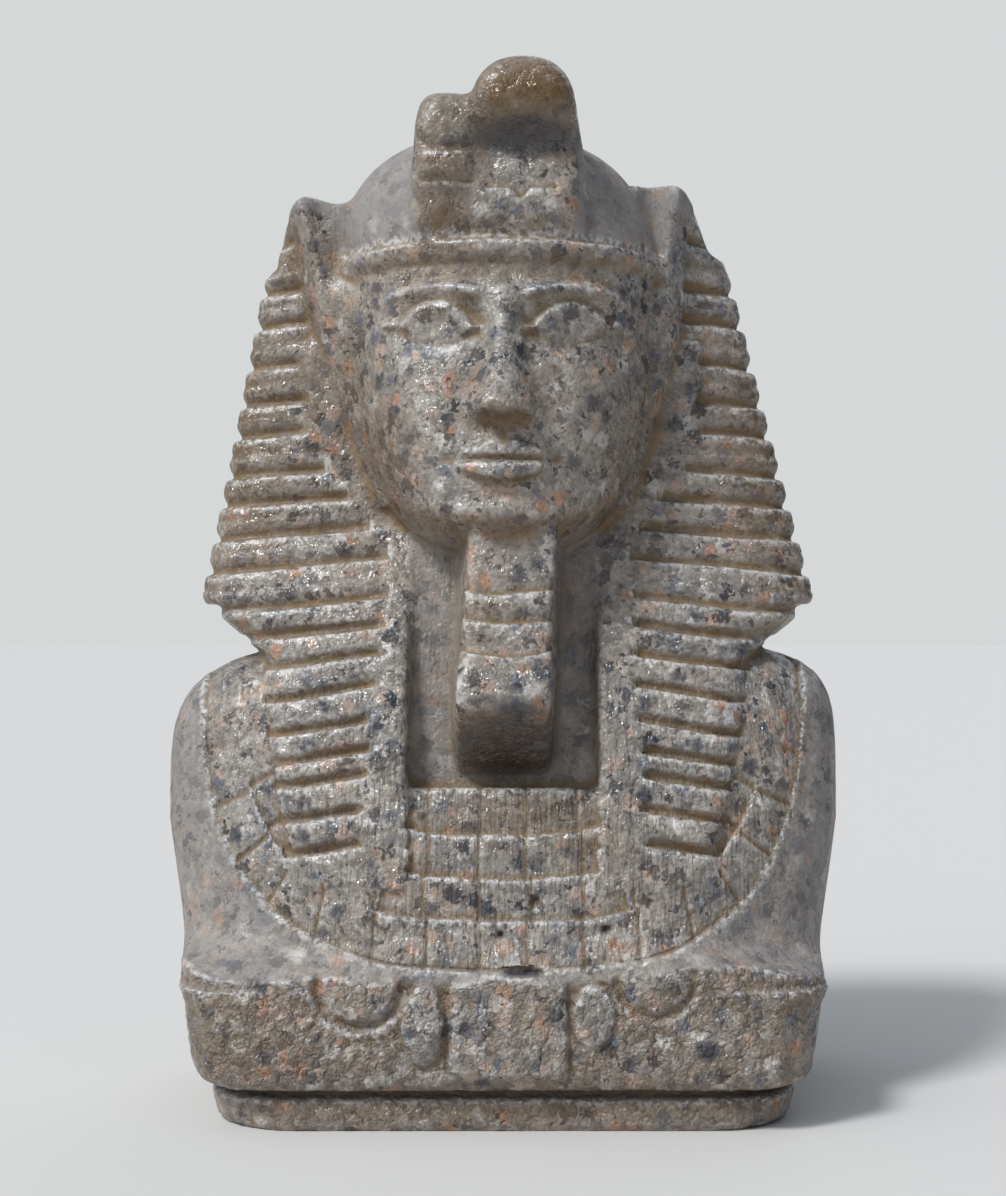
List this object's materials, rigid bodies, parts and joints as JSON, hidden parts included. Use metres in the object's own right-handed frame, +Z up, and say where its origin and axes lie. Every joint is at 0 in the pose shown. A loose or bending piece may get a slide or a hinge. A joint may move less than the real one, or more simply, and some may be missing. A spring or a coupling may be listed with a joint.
{
  "type": "pharaoh statue",
  "caption": "Stone bust of a pharaoh in a ribbed headcloth with a plaited beard and a broad collar, carved in one with its low plinth.",
  "frame": {"origin": "middle of the underside of the foot, at the height it stands on", "axes": "+Z up, the face looks along -Y, and +X is the viewer's right"},
  "size_m": [0.106, 0.06, 0.16],
  "materials": {
    "granite": "waxed, with dusty hollows"
  },
  "bodies": {
    "root": {"pharaoh_bust": "granite"}
  },
  "joints": []
}
